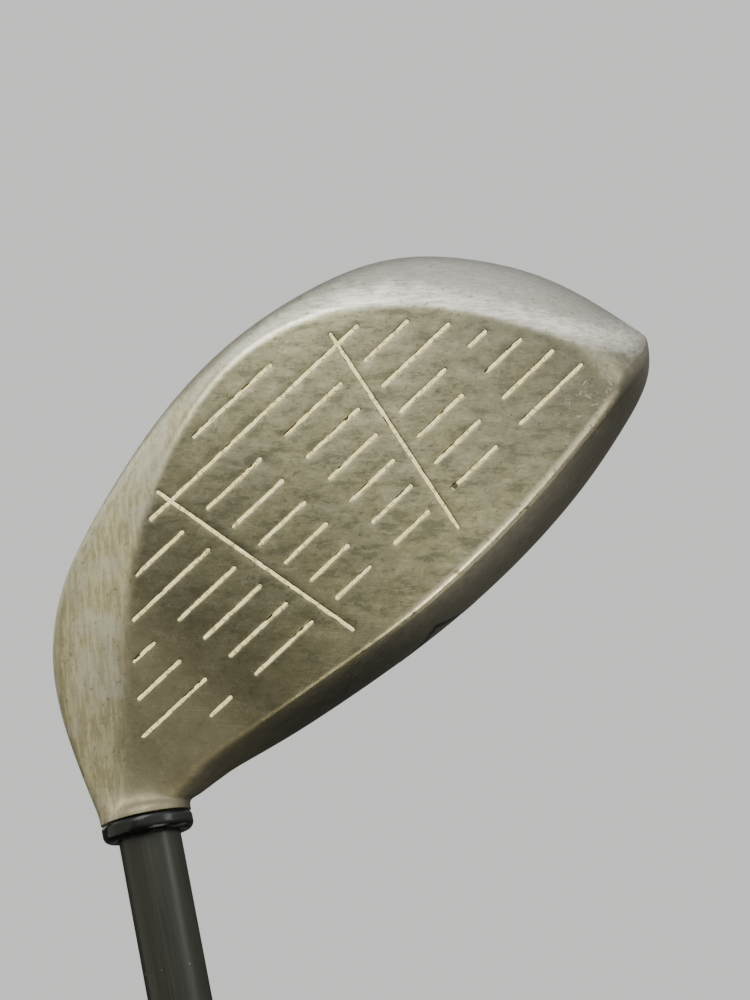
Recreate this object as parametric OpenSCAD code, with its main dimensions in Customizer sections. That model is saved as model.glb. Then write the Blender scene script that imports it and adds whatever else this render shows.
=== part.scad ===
// Hybrid golf club, right-handed, standing on its butt with the head up.
// Z runs along the shaft from the butt to the head, the face looks towards -Y,
// and the origin is the centre of the butt's flat end. Millimetres.

/* [Club] */
// Length from the butt to the ground under the heel, along the shaft
club_length = 1029; // [900:1:1150]
// Angle between the shaft and the ground at address
lie = 59; // [56:0.5:62]
// Angle between the face and the plumb line at address
loft = 18; // [15:0.5:21]

/* [Head] */
// Radius of the hosel's outside
hosel_r = 6.6; // [6.6:0.05:7]
// How far the face stands in front of the shaft axis, square to the face
face_forward = 8; // [7.5:0.1:9]
// Radius of the face's curve from heel to toe
bulge_r = 340; // [280:10:400]
// Radius of the face's curve from sole to crown
roll_r = 300; // [250:10:400]
// Wall of the face plate
face_wall = 2.8; // [2.5:0.1:3.2]
// Wall of the body and the sole plate
body_wall = 1.7; // [1.4:0.1:2]
// Wall of the body at the mouth of the hosel
collar_wall = 1.1; // [1:0.05:1.1]
// How far the weld beads stand up inside the head
weld_h = 0.8; // [0.5:0.1:1]

/* [Scorelines] */
// Height of the top row, up the face from the mouth of the hosel
row_top = -4.8; // [-5.4:0.1:-3.9]
// Distance from row to row
row_pitch = 4.36; // [4.2:0.02:4.5]
// Width of a scoreline
line_w = 0.75; // [0.6:0.05:0.9]
// Depth of a scoreline
line_depth = 0.35; // [0.25:0.05:0.45]
// Half of the blank between two dashes of a row
half_blank = 2.5; // [2.2:0.05:2.7]

/* [Shaft] */
// Radius of the parallel tip
tip_r = 4.5; // [4.5:0.05:4.55]
// Radius of the parallel butt
butt_r = 7.62; // [7.3:0.01:7.8]
// Length of the parallel butt
butt_length = 275; // [272:1:300]
// Length of the parallel tip that shows below the hosel
tip_length = 60; // [30:1:120]
// Depth of the shaft in the hosel tube
insertion = 28; // [26:1:28]
// Wall of the hosel tube
tube_wall = 0.8; // [0.7:0.05:0.8]
// Thickness of the epoxy round the tip
epoxy = 0.1; // [0.05:0.01:0.1]
// Height of the ferrule
ferrule_h = 2.8; // [2.5:0.1:6]

/* [Grip] */
// Length of the grip
grip_length = 267; // [255:1:270]
// Largest radius, at the cap
cap_r = 14; // [13.5:0.1:14.5]
// Radius at the mouth
mouth_r = 9; // [8.8:0.1:9.4]
// Thickness of the tape under the grip
tape = 0.2; // [0.1:0.05:0.3]
// Thickness of the end cap over the butt
cap_t = 4; // [3.5:0.1:5]
// Radius of the vent hole through the cap
vent_r = 2.4; // [1.5:0.1:2.6]

/* [Hidden] */
$fn = 64;

// Thickness of the tip weight's flange, which closes the end of the hosel tube.
weight_flange = 1.5;
// The hosel's mouth is this far short of the ground, measured along the shaft.
hosel_above_ground = 47;
hosel_z = club_length - hosel_above_ground;
tube_length = insertion + weight_flange;
tube_r = tip_r + epoxy + tube_wall;

// ---- head surface ----
// The head is drawn in the face's own axes: a from heel to toe, v up the face, w square to it and backwards.
// They start at the centre of the hosel's mouth. Ribs stand between a line along the sole and one along
// the crown, and fan out from the hosel to the toe. Each row of the table is one rib:
// [sole a, sole v, crown a, crown v, share of the rib at the topline, share at the face's lower edge,
//  depth of the sole line, depth of the crown line, depth of the back]
RIBS = [
    [-5.6,  -3.5,   5.6,  3.5, 0.75,  0.42,  0,    0,    6.8],
    [-4.3,  -7.4,   7.2,  5.2, 0.78,  0.44,  0.5,  1,    7.5],
    [-0.6, -15.8,  10.2,  3.1, 0.81,  0.40,  2,    3.5,  9.5],
    [ 4.3, -25.2,  16.2,  4.9, 0.83,  0.37,  4,    6.5, 17],
    [13.5, -33.1,  24,    7.2, 0.85,  0.27,  4.5,  9.5, 30],
    [26.4, -37.4,  34.5,  9.3, 0.855, 0.13,  3.5, 12,   42],
    [41,   -41.2,  46.5, 11.3, 0.87,  0.06,  2,   14,   49.5],
    [55.5, -42.2,  58.5, 12.2, 0.867, 0.03,  1,   15,   52],
    [69,   -40,    70.5, 12,   0.858, 0.08,  1.5, 15,   50],
    [81.5, -35.8,  82,   10.6, 0.845, 0.22,  3.5, 14.5, 44],
    [91.1, -26.8,  91.4,  8.2, 0.83,  0.46,  6.5, 14,   36],
    [99.2, -15.5, 100.2,  5.7, 0.79,  0.78, 10,   14.5, 26],
    [103.6,  0,   103.6,  0,   0.80,  0.80, 15,   15,   15]
];
last_rib = len(RIBS) - 1;
toe = RIBS[last_rib];
// Where the bulge and the roll are centred on the face.
face_mid = [53, -14.9];
// Share of a rib at which the head is deepest.
back_share = 0.58;
// How much the sole's curve leans to a straight line, and the power of that lean.
sole_lean = 0.41;
sole_power = 1.6;
// Beyond this the face turns back to the toe's tip.
toe_turn = 90;
// How far the leading edge's curve turns before it meets the face in a soft crease.
roll_turn = 62;

// Stops round a rib, as shares of each stretch.
crown_front = [0, 0.12, 0.5];
crown_back = [0, 1/8, 2/8, 3/8, 4/8, 5/8, 6/8, 7/8];
sole_stops = [0, 0.22, 0.27, 0.32, 0.48, 0.64, 0.79, 0.84, 0.89];
roll_stops = [0, 0.3, 0.6, 0.85];
face_stops = [0, 0.04, 0.28, 0.5, 0.72, 0.96];
// Where each stretch begins, counted round a rib from the topline.
j_back = len(crown_front);
j_sole = j_back + len(crown_back);
j_roll = j_sole + len(sole_stops);
j_face = j_roll + len(roll_stops);
around = j_face + len(face_stops);

// Rings along the head: even steps, then closing up to the toe's tip.
ring_step = 0.325;
rings_even = 34;
rings_toe = 7;
toe_start = rings_even * ring_step;
RING_T = concat([for (i = [0 : rings_even - 1]) i * ring_step],
                [for (i = [0 : rings_toe]) toe_start + (last_rib - toe_start) * sin(90 * i / rings_toe)]);
rings = len(RING_T) - 1;

function ease(x) = let (c = min(max(x, 0), 1)) c * c * (3 - 2 * c);
function mix(p, q, s) = p + (q - p) * s;
function unit(p) = p / norm(p);

// A smooth curve through the table of ribs, which starts and ends on its first and last row.
function rib_row(i) = i < 0 ? 2 * RIBS[0] - RIBS[1]
                    : i > last_rib ? 2 * RIBS[last_rib] - RIBS[last_rib - 1]
                    : RIBS[i];
function rib_at(t) =
    let (i = min(floor(t), last_rib - 1), f = t - i)
    (pow(1 - f, 3) * rib_row(i - 1) + (3 * pow(f, 3) - 6 * f * f + 4) * rib_row(i)
     + (-3 * pow(f, 3) + 3 * f * f + 3 * f + 1) * rib_row(i + 1) + pow(f, 3) * rib_row(i + 2)) / 6;

// Depth of the face at a place on it: the bulge, the roll, and the turn back to the tip of the toe.
function curved_depth(p) = -face_forward + pow(p[0] - face_mid[0], 2) / (2 * bulge_r)
                           + pow(p[1] - face_mid[1], 2) / (2 * roll_r);
function face_depth(p) =
    let (x = min(max((p[0] - toe_turn) / (toe[0] - toe_turn), 0), 1))
    curved_depth(p) + (toe[6] - curved_depth(toe)) * (1 - sqrt(1 - x * x));

function rib_ring(t) =
    let (r = rib_at(t), sole = [r[0], r[1]], crown = [r[2], r[3]], top = r[4], low = r[5],
         face = function(s) face_depth(mix(sole, crown, s)),
         point = function(s, w) let (p = mix(sole, crown, s)) [p[0], p[1], w],
         w_top = face(top), w_low = face(low), w_crown = max(r[7], w_top))
    concat(
        [for (x = crown_front) point(1 - (1 - top) * pow(1 - x, 2), mix(w_top, w_crown, x))],
        [for (x = crown_back) point(mix(back_share, 1, cos(90 * x)), mix(w_crown, r[8], sin(90 * x)))],
        [for (x = sole_stops)
            let (d = cos(90 * x))
            point(back_share * (sole_lean * pow(d, sole_power) + (1 - sole_lean) * (1 - sin(90 * x))),
                  mix(r[6], r[8], d))],
        [for (x = roll_stops) let (q = roll_turn * x)
            point(low * (1 - cos(q)) / (1 - cos(roll_turn)), mix(w_low, r[6], 1 - sin(q) / sin(roll_turn)))],
        [for (x = face_stops) let (s = mix(low, top, x)) point(s, face(s))]);

// The hosel is a round ring, turned so that it meets each rib's stops in the same order.
shaft_dir = [cos(lie), -sin(lie) * cos(loft), sin(lie) * sin(loft)];
hosel_up = unit([-shaft_dir[1], shaft_dir[0], 0]);
hosel_back = cross(hosel_up, -shaft_dir);
ring_slide = 2.2;
function turn(from, to, stops) = [for (x = stops) mix(from, to, x)];
HOSEL_TURNS = concat(turn(-38, 0, crown_front), turn(0, 90, crown_back), turn(90, 180, sole_stops),
                     turn(180, 235, roll_stops), turn(235, 322, face_stops));
function hosel_ring(t) = [for (q = HOSEL_TURNS)
    shaft_dir * ring_slide * t + hosel_r * (cos(q) * hosel_up + sin(q) * hosel_back)];

// The hosel's ring turns into the ribs before the third of them.
function head_ring(t) =
    let (g = ease((t - 0.1) / 2.2), h = hosel_ring(t), r = rib_ring(t))
    [for (j = [0 : around - 1]) mix(h[j], r[j], g)];

// The same ring moved inwards by the wall, thin at the hosel and full beyond the fourth rib.
function mean(list) = list * [for (p = list) 1] / len(list);
function centre(ring) = [for (k = [0 : 2]) mean([for (p = ring) p[k]])];
function inner_ring(t, extra) =
    let (ring = head_ring(t), c = centre(ring), r = rib_at(t),
         along = unit(t < last_rib - 0.01 ? [r[2] - r[0], r[3] - r[1], 0] : [0, 1, 0]),
         across = [along[1], -along[0], 0],
         length_along = max([for (p = ring) p * along]) - min([for (p = ring) p * along]),
         front = min([for (p = ring) p[2]]), back = max([for (p = ring) p[2]]),
         full = ease((t - 1.8) / 2.2),
         wall = mix(collar_wall, body_wall, full) + extra,
         wall_face = mix(collar_wall, face_wall, full) + extra,
         k_along = max(1 - 2 * wall / max(length_along, 0.1), 0.3),
         k_depth = max(1 - (wall + wall_face) / max(back - front, 0.1), 0.3),
         mid = [c[0] - toe_shift(c[0], wall), c[1], (front + back + (wall_face - wall) * min(full, k_depth)) / 2],
         mid0 = [c[0], c[1], (front + back) / 2])
    [for (p = ring) let (d = p - mid0)
        mid + along * (d * along) * k_along + across * (d * across) * k_depth + [0, 0, d[2] * k_depth]];
function toe_shift(a, wall) = wall * ease((a - 60) / (toe[0] - 60));

// From the face's axes to the club's.
function to_club(p) =
    let (up = p[1] * cos(loft) - p[2] * sin(loft), back = p[1] * sin(loft) + p[2] * cos(loft))
    [p[0] * sin(lie) + up * cos(lie), back, hosel_z + p[0] * cos(lie) - up * sin(lie)];
function grid(rows) = [for (row = rows) for (p = row) to_club(p)];
module in_face_axes() {
    multmatrix([[sin(lie), cos(loft) * cos(lie), -sin(loft) * cos(lie), 0],
                [0, sin(loft), cos(loft), 0],
                [cos(lie), -cos(loft) * sin(lie), sin(loft) * sin(lie), hosel_z]])
        children();
}

OUTER = grid([for (t = RING_T) head_ring(t)]);
INNER_RINGS = [for (t = RING_T) inner_ring(t, 0)];
DEEP_RINGS = [for (t = RING_T) inner_ring(t, weld_h)];
INNER = grid(INNER_RINGS);
DEEP = grid(DEEP_RINGS);

// ---- which cells of the head belong to which piece ----
// The face plate fills the face, and the sole plate fills a window in the sole.
face_from = 8;
face_to = 37;
sole_from = 12;
sole_to = 33;
sole_j0 = j_sole + 2;
sole_j1 = j_sole + 7;
in_face = function(i, j) i >= face_from && i < face_to && j >= j_face && j < around;
in_sole = function(i, j) i >= sole_from && i < sole_to && j >= sole_j0 && j < sole_j1;
in_body = function(i, j) i >= 0 && i < rings && !in_face(i, j) && !in_sole(i, j);
function wrap(j) = (j + around) % around;

// A closed solid between two grids of points, over the cells that belong to it. Where rim is 0 the two
// grids already meet at the edge of those cells, so no wall is drawn there, nor a facet where they touch.
module patch(top, bottom, has, rim = 1) {
    n = len(top);
    function o(i, j) = i * around + wrap(j);
    function u(i, j) = n + o(i, j);
    cells = [for (i = [0 : rings - 1]) for (j = [0 : around - 1]) if (has(i, j)) [i, j]];
    facets = [for (c = cells) let (i = c[0], j = c[1])
        each i == rings - 1
            ? [[o(i, j), o(rings, 0), o(i, j + 1)]]
            : [[o(i, j), o(i + 1, j), o(i + 1, j + 1)], [o(i, j), o(i + 1, j + 1), o(i, j + 1)]]];
    skins = [for (f = facets)
        if (rim == 1 || max([for (k = f) norm(top[k] - bottom[k])]) > 0)
            each [f, [n + f[0], n + f[2], n + f[1]]]];
    walls = rim == 0 ? [] : [for (c = cells) let (i = c[0], j = c[1]) each concat(
        has(i, wrap(j - 1)) ? []
            : [[o(i + 1, j), o(i, j), u(i, j)], [o(i + 1, j), u(i, j), u(i + 1, j)]],
        has(i, wrap(j + 1)) ? []
            : [[o(i, j + 1), o(i + 1, j + 1), u(i, j + 1)], [o(i + 1, j + 1), u(i + 1, j + 1), u(i, j + 1)]],
        has(i - 1, j) ? []
            : [[o(i, j), o(i, j + 1), u(i, j + 1)], [o(i, j), u(i, j + 1), u(i, j)]],
        has(i + 1, j) || i == rings - 1 ? []
            : [[o(i + 1, j + 1), o(i + 1, j), u(i + 1, j + 1)], [o(i + 1, j), u(i + 1, j), u(i + 1, j + 1)]])];
    polyhedron(concat(top, bottom), concat(skins, walls), convexity = 6);
}

// A weld bead covers the cells on both sides of a seam, and stands up only at the seam's own points.
function seam(i, j, has) =
    let (h = has(i, j)) has(i - 1, j) != h || has(i, wrap(j - 1)) != h || has(i - 1, wrap(j - 1)) != h;
function bead_cell(i, j, has) =
    seam(i, j, has) || seam(i + 1, j, has) || seam(i, wrap(j + 1), has) || seam(i + 1, wrap(j + 1), has);
// The inside of the head with its beads on it.
LINING = [for (i = [0 : rings]) for (j = [0 : around - 1])
    i > 0 && i < rings && (seam(i, j, in_face) || seam(i, j, in_sole)) ? DEEP[i * around + j]
                                                                         : INNER[i * around + j]];

module body_shell() {
    color("dimgray") difference() {
        patch(OUTER, INNER, in_body);
        translate([0, 0, hosel_z - 1]) cylinder(h = tube_length + 1, r = tube_r);
    }
}

module sole_plate() {
    color("silver") patch(OUTER, INNER, in_sole);
}

module face_weld() {
    color("slategray") patch(INNER, LINING, function(i, j) bead_cell(i, j, in_face), rim = 0);
}

module sole_weld() {
    color("slategray") patch(INNER, LINING, function(i, j) bead_cell(i, j, in_sole), rim = 0);
}

// ---- scorelines ----
// Five slanting blanks part each row into dashes: [place in the top row, shift from row to row].
BLANKS = [[23.4, -0.87], [39.1, -0.92], [50.4, -0.17], [61.9, 0.66], [75.4, 0.7]];
// Ends of the rows of dashes, from the top row down.
HEEL_ENDS = [17.2, 8, 11.4, 14.6, 18.6, 23.3];
TOE_ENDS = [90.2, 88.4, 86.1, 83.1, 79.9, 75.8];
short_rows = 4;
function row_v(r) = row_top - row_pitch * r;
function blanks(r) = let (s = r < short_rows ? [0 : 4] : [1 : 3]) [for (k = s) BLANKS[k][0] + BLANKS[k][1] * r];
function dashes(r) =
    let (b = blanks(r), n = len(b))
    [for (k = [0 : n])
        [k == 0 ? HEEL_ENDS[r] : b[k - 1] + half_blank, k == n ? TOE_ENDS[r] : b[k] - half_blank]];
// The base lines, and the two long slanting lines through the blanks: [start, end] as places on the face.
BASE_LINES = [[[30.1, row_v(6)], [50.1, row_v(6)]], [[50.1, row_v(6)], [70.1, row_v(6)]],
              [[42.5, row_v(7)], [57.2, row_v(7)]]];
SLANTS = [[[61, -0.3], [66.5, -32.6]], [[40.1, 0], [33.4, -33]]];
LINES = concat([for (r = [0 : 5]) for (d = dashes(r)) [[d[0], row_v(r)], [d[1], row_v(r)]]], BASE_LINES, SLANTS);

// A round-ended bar from above the face down to the bottom of a scoreline.
module bar(p, q) {
    d = q - p;
    depth = face_depth((p + q) / 2);
    translate([p[0], p[1], depth - 1]) rotate(atan2(d[1], d[0])) linear_extrude(1 + line_depth) {
        translate([0, -line_w / 2]) square([norm(d), line_w]);
        circle(line_w / 2, $fn = 16);
        translate([norm(d), 0]) circle(line_w / 2, $fn = 16);
    }
}
module bars() {
    in_face_axes() for (l = LINES) bar(l[0], l[1]);
}

module face_plate() {
    color("gray") difference() {
        patch(OUTER, INNER, in_face);
        bars();
    }
}

module scoreline_paint() {
    color("ivory") intersection() {
        patch(OUTER, INNER, in_face);
        bars();
    }
}

// ---- inside the head ----
foam_from = 16;
module foam_core() {
    rows = [for (i = [foam_from : rings]) [for (j = [0 : around - 1]) LINING[i * around + j]]];
    n = len(rows) - 1;
    pts = concat([for (r = [0 : n - 1]) each rows[r]], [rows[n][0], centre(rows[0])]);
    function o(i, j) = i * around + wrap(j);
    color("burlywood") polyhedron(pts, concat(
        [for (j = [0 : around - 1]) [o(0, j), o(0, j + 1), n * around + 1]],
        [for (i = [0 : n - 2]) for (j = [0 : around - 1])
            each [[o(i, j), o(i + 1, j), o(i + 1, j + 1)], [o(i, j), o(i + 1, j + 1), o(i, j + 1)]]],
        [for (j = [0 : around - 1]) [o(n - 1, j), n * around, o(n - 1, j + 1)]]));
}

module ring_solid(r_in, r_out, z0, z1) {
    translate([0, 0, z0]) difference() {
        cylinder(h = z1 - z0, r = r_out);
        translate([0, 0, -1]) cylinder(h = z1 - z0 + 2, r = r_in);
    }
}

module hosel_tube() {
    color("lightslategray") ring_solid(tip_r + epoxy, tube_r, hosel_z, hosel_z + tube_length);
}

module shaft_epoxy() {
    color("khaki") ring_solid(tip_r, tip_r + epoxy, hosel_z, hosel_z + insertion);
}

// ---- shaft ----
tip_bore_r = 2.5;
butt_wall = 1;
weight_shank = 24;
weight_slack = 0.02;
ferrule_r = hosel_r;
shaft_start = cap_t;
taper_end = hosel_z - ferrule_h - tip_length;

module shaft_tube() {
    color("darkslategray") rotate_extrude() polygon([
        [butt_r, shaft_start], [butt_r, butt_length], [tip_r, taper_end], [tip_r, hosel_z + insertion],
        [tip_bore_r, hosel_z + insertion], [tip_bore_r, taper_end], [butt_r - butt_wall, butt_length],
        [butt_r - butt_wall, shaft_start]]);
}

module tip_weight() {
    end = hosel_z + insertion;
    color("goldenrod") {
        translate([0, 0, end - weight_shank]) cylinder(h = weight_shank, r = tip_bore_r - weight_slack);
        translate([0, 0, end]) cylinder(h = weight_flange, r = tip_r);
    }
}

// A ring with a rounded outside that covers the step from the shaft to the hosel.
ferrule_round = 1;
module ferrule() {
    mid = ferrule_h / 2;
    color("black") translate([0, 0, hosel_z - ferrule_h]) rotate_extrude() union() {
        translate([tip_r, 0]) square([ferrule_r - tip_r - ferrule_round, ferrule_h]);
        translate([tip_r, ferrule_round]) square([ferrule_r - tip_r, ferrule_h - 2 * ferrule_round]);
        translate([ferrule_r - ferrule_round, ferrule_round]) circle(ferrule_round, $fn = 32);
        translate([ferrule_r - ferrule_round, ferrule_h - ferrule_round]) circle(ferrule_round, $fn = 32);
    }
}

// ---- grip ----
tape_r = butt_r + tape;
tape_end = grip_length - 2;
cap_flat_r = 10;
cap_edge = 6;
neck_r = 12.6;
neck_z = 16;
waist_r = 11.6;
waist_z = 60;
mid_r = 10.1;
mid_z = 160;

module grip_tape() {
    color("tan") ring_solid(butt_r, tape_r, shaft_start, tape_end);
}

module grip_sleeve() {
    color("black") rotate_extrude() polygon([
        [tape_r, cap_edge], [cap_r, cap_edge], [cap_r - 0.3, cap_edge + 3], [neck_r, neck_z], [waist_r, waist_z],
        [mid_r, mid_z], [mouth_r, grip_length - 4], [mouth_r, grip_length - 1], [mouth_r - 0.5, grip_length],
        [butt_r, grip_length], [butt_r, tape_end], [tape_r, tape_end]]);
}

// The cap closes the butt, and its rim stands between the sleeve and the end.
module grip_cap() {
    color("dimgray") rotate_extrude() difference() {
        union() {
            square([cap_flat_r, cap_edge]);
            translate([cap_flat_r, 4]) circle(4, $fn = 48);
            translate([0, 4]) square([cap_r, cap_edge - 4]);
        }
        translate([-1, -1]) square([1 + vent_r, cap_edge + 2]);
        translate([0, cap_t]) square([tape_r, cap_edge]);
        translate([0, cap_edge]) square([2 * cap_r, cap_edge]);
    }
}

body_shell();
face_plate();
face_weld();
sole_plate();
sole_weld();
hosel_tube();
foam_core();
scoreline_paint();
ferrule();
shaft_epoxy();
shaft_tube();
tip_weight();
grip_tape();
grip_sleeve();
grip_cap();
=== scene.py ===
import math

import bpy
import mathutils
import mathutils.bvhtree
import mathutils.geometry
import numpy as np
from mathutils import Matrix, Vector


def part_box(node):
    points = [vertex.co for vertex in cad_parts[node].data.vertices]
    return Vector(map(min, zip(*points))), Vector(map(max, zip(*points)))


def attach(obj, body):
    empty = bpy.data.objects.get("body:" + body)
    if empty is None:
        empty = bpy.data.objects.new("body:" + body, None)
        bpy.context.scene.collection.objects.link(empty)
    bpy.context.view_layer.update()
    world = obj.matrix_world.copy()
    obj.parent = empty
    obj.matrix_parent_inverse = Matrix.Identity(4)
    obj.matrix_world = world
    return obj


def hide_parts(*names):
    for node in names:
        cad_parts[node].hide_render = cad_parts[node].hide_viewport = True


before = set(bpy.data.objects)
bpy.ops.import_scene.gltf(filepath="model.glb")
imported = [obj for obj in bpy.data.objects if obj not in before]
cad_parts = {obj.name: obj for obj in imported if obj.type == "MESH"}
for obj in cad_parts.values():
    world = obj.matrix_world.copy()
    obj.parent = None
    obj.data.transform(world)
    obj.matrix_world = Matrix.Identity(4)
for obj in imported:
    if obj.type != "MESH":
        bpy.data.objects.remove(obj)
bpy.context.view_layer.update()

# ---- the head's measures, in millimetres and degrees, as the CAD has them ----
MM = 0.001
LIE, LOFT = math.radians(59), math.radians(18)
HOSEL_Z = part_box("ferrule")[1].z / MM
HOSEL_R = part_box("ferrule")[1].x / MM
FACE_FORWARD, BULGE_R, ROLL_R = 8.0, 340.0, 300.0
RIBS = np.array([
    [-5.6, -3.5, 5.6, 3.5, 0.75, 0.42, 0, 0, 6.8],
    [-4.3, -7.4, 7.2, 5.2, 0.78, 0.44, 0.5, 1, 7.5],
    [-0.6, -15.8, 10.2, 3.1, 0.81, 0.40, 2, 3.5, 9.5],
    [4.3, -25.2, 16.2, 4.9, 0.83, 0.37, 4, 6.5, 17],
    [13.5, -33.1, 24, 7.2, 0.85, 0.27, 4.5, 9.5, 30],
    [26.4, -37.4, 34.5, 9.3, 0.855, 0.13, 3.5, 12, 42],
    [41, -41.2, 46.5, 11.3, 0.87, 0.06, 2, 14, 49.5],
    [55.5, -42.2, 58.5, 12.2, 0.867, 0.03, 1, 15, 52],
    [69, -40, 70.5, 12, 0.858, 0.08, 1.5, 15, 50],
    [81.5, -35.8, 82, 10.6, 0.845, 0.22, 3.5, 14.5, 44],
    [91.1, -26.8, 91.4, 8.2, 0.83, 0.46, 6.5, 14, 36],
    [99.2, -15.5, 100.2, 5.7, 0.79, 0.78, 10, 14.5, 26],
    [103.6, 0, 103.6, 0, 0.80, 0.80, 15, 15, 15],
])
LAST = len(RIBS) - 1
TOE = RIBS[LAST]
FACE_MID = (53.0, -14.9)
BACK_SHARE, SOLE_LEAN, SOLE_POWER = 0.58, 0.41, 1.6
TOE_TURN, ROLL_TURN = 90.0, math.radians(62)
RING_SLIDE = 2.2
COLLAR_WALL, BODY_WALL, FACE_WALL = 1.1, 1.7, 2.8

A_DIR = np.array([math.sin(LIE), 0, math.cos(LIE)])
V_DIR = np.array([math.cos(LOFT) * math.cos(LIE), math.sin(LOFT), -math.cos(LOFT) * math.sin(LIE)])
W_DIR = np.array([-math.sin(LOFT) * math.cos(LIE), math.cos(LOFT), math.sin(LOFT) * math.sin(LIE)])
TO_CLUB = np.array([A_DIR, V_DIR, W_DIR])


def to_club(p):
    """Face axes (a heel to toe, v up the face, w back), in mm, to the frame, in metres."""
    q = np.asarray(p, float) @ TO_CLUB
    q[..., 2] += HOSEL_Z
    return q * MM


def ease(x):
    c = np.clip(x, 0, 1)
    return c * c * (3 - 2 * c)


def mix(a, b, s):
    return a + (b - a) * s


def unit(v):
    return np.asarray(v, float) / np.linalg.norm(v)


def rib_at(t):
    """Smooth curve through the table of ribs."""
    rows = np.vstack([2 * RIBS[0] - RIBS[1], RIBS, 2 * RIBS[LAST] - RIBS[LAST - 1]])
    t = np.atleast_1d(np.asarray(t, float))
    i = np.minimum(np.floor(t).astype(int), LAST - 1)
    f = (t - i)[:, None]
    return ((1 - f) ** 3 * rows[i] + (3 * f ** 3 - 6 * f * f + 4) * rows[i + 1]
            + (-3 * f ** 3 + 3 * f * f + 3 * f + 1) * rows[i + 2] + f ** 3 * rows[i + 3]) / 6


def curved_depth(a, v):
    return (-FACE_FORWARD + (a - FACE_MID[0]) ** 2 / (2 * BULGE_R) + (v - FACE_MID[1]) ** 2 / (2 * ROLL_R))


def face_depth(a, v):
    x = np.clip((a - TOE_TURN) / (TOE[0] - TOE_TURN), 0, 1)
    return curved_depth(a, v) + (TOE[6] - curved_depth(TOE[0], TOE[1])) * (1 - np.sqrt(1 - x * x))


# ---- the head's surface: rings from the hosel to the toe, rounded along the creases ----
STEPS = dict(crown_front=80, crown_back=200, sole=260, roll=160, face=200)
SHAFT_DIR = np.array([math.cos(LIE), -math.sin(LIE) * math.cos(LOFT), math.sin(LIE) * math.sin(LOFT)])
HOSEL_UP = unit([-SHAFT_DIR[1], SHAFT_DIR[0], 0.0])
HOSEL_BACK = np.cross(HOSEL_UP, -SHAFT_DIR)
TURNS = dict(crown_front=(-38, 0), crown_back=(0, 90), sole=(90, 180), roll=(180, 235), face=(235, 322))


def dense_ring(t):
    r = rib_at(t)[0]
    sole, crown, top, low = r[0:2], r[2:4], r[4], r[5]

    def place(s):
        return mix(sole[0], crown[0], s), mix(sole[1], crown[1], s)

    w_top, w_low = face_depth(*place(top)), face_depth(*place(low))
    w_crown = max(r[7], w_top)
    parts, turns = [], []
    for name, n in STEPS.items():
        x = np.arange(n) / n
        if name == "crown_front":
            s, w = 1 - (1 - top) * (1 - x) ** 2, mix(w_top, w_crown, x)
        elif name == "crown_back":
            s, w = mix(BACK_SHARE, 1, np.cos(x * np.pi / 2)), mix(w_crown, r[8], np.sin(x * np.pi / 2))
        elif name == "sole":
            d = np.cos(x * np.pi / 2)
            s = BACK_SHARE * (SOLE_LEAN * d ** SOLE_POWER + (1 - SOLE_LEAN) * (1 - np.sin(x * np.pi / 2)))
            w = mix(r[6], r[8], d)
        elif name == "roll":
            q = ROLL_TURN * x
            s = low * (1 - np.cos(q)) / (1 - math.cos(ROLL_TURN))
            w = mix(w_low, r[6], 1 - np.sin(q) / math.sin(ROLL_TURN))
        else:
            s = mix(low, top, x)
            w = face_depth(*place(s))
        a, v = place(s)
        parts.append(np.stack([a, v, w + 0 * a], 1))
        turns.append(np.radians(mix(*TURNS[name], x)))
    ring, turn = np.vstack(parts), np.concatenate(turns)
    round_hosel = np.outer(np.cos(turn), HOSEL_UP) + np.outer(np.sin(turn), HOSEL_BACK)
    hosel = SHAFT_DIR * RING_SLIDE * t + HOSEL_R * round_hosel
    return mix(hosel, ring, ease((t - 0.1) / 2.2))


REAR_POINT = STEPS["crown_front"] + STEPS["crown_back"]
CREASE_POINT = REAR_POINT + STEPS["sole"] + STEPS["roll"]
SOLE_CUT = (0.27, 0.84)


class Ring:
    """One closed ring with exact running means along its length."""

    def __init__(self, t):
        p = dense_ring(t)
        step = np.roll(p, -1, 0) - p
        length = np.maximum(np.linalg.norm(step, axis=1), 1e-9)
        self.s = np.concatenate([[0], np.cumsum(length)])
        self.p, self.tan = p, step / length[:, None]
        self.whole = self.s[-1]
        area = (p + step / 2) * length[:, None]
        self.sum = np.vstack([np.zeros(3), np.cumsum(area, 0)])

    def integral(self, s):
        turns = np.floor(s / self.whole)
        s = s - turns * self.whole
        k = np.clip(np.searchsorted(self.s, s, side="right") - 1, 0, len(self.p) - 1)
        d = (s - self.s[k])[:, None]
        return turns[:, None] * self.sum[-1] + self.sum[k] + self.p[k] * d + self.tan[k] * d * d / 2

    def smooth(self, s, r):
        return (self.integral(s + r) - self.integral(s - r)) / (2 * r)[:, None]


def radii(t):
    """Rounding of the topline and of the crease at the face's lower edge, for a rib."""
    top = 0.70 + 2.0 * ease((t - 9.3) / 1.7) + 1.0 * ease((4.6 - t) / 2.6)
    low = 1.0 - 0.45 * ease((4.5 - t) / 2) + 2.8 * ease((t - 9.2) / 2.0)
    return top, low


# columns round the ring: [from anchor, to anchor, how many]
COLUMNS = [("K-", "K+", 18), ("K+", "R", 62), ("R", "S0", 22), ("S0", "S1", 44), ("S1", "E-", 34),
           ("E-", "E+", 18), ("E+", "K-", 44)]
ROUND_LIMIT, ROUND_BASE, ROUND_FADE = 0.045, 0.25, 2.5
CREASE_MARGIN = 1.35


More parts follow.
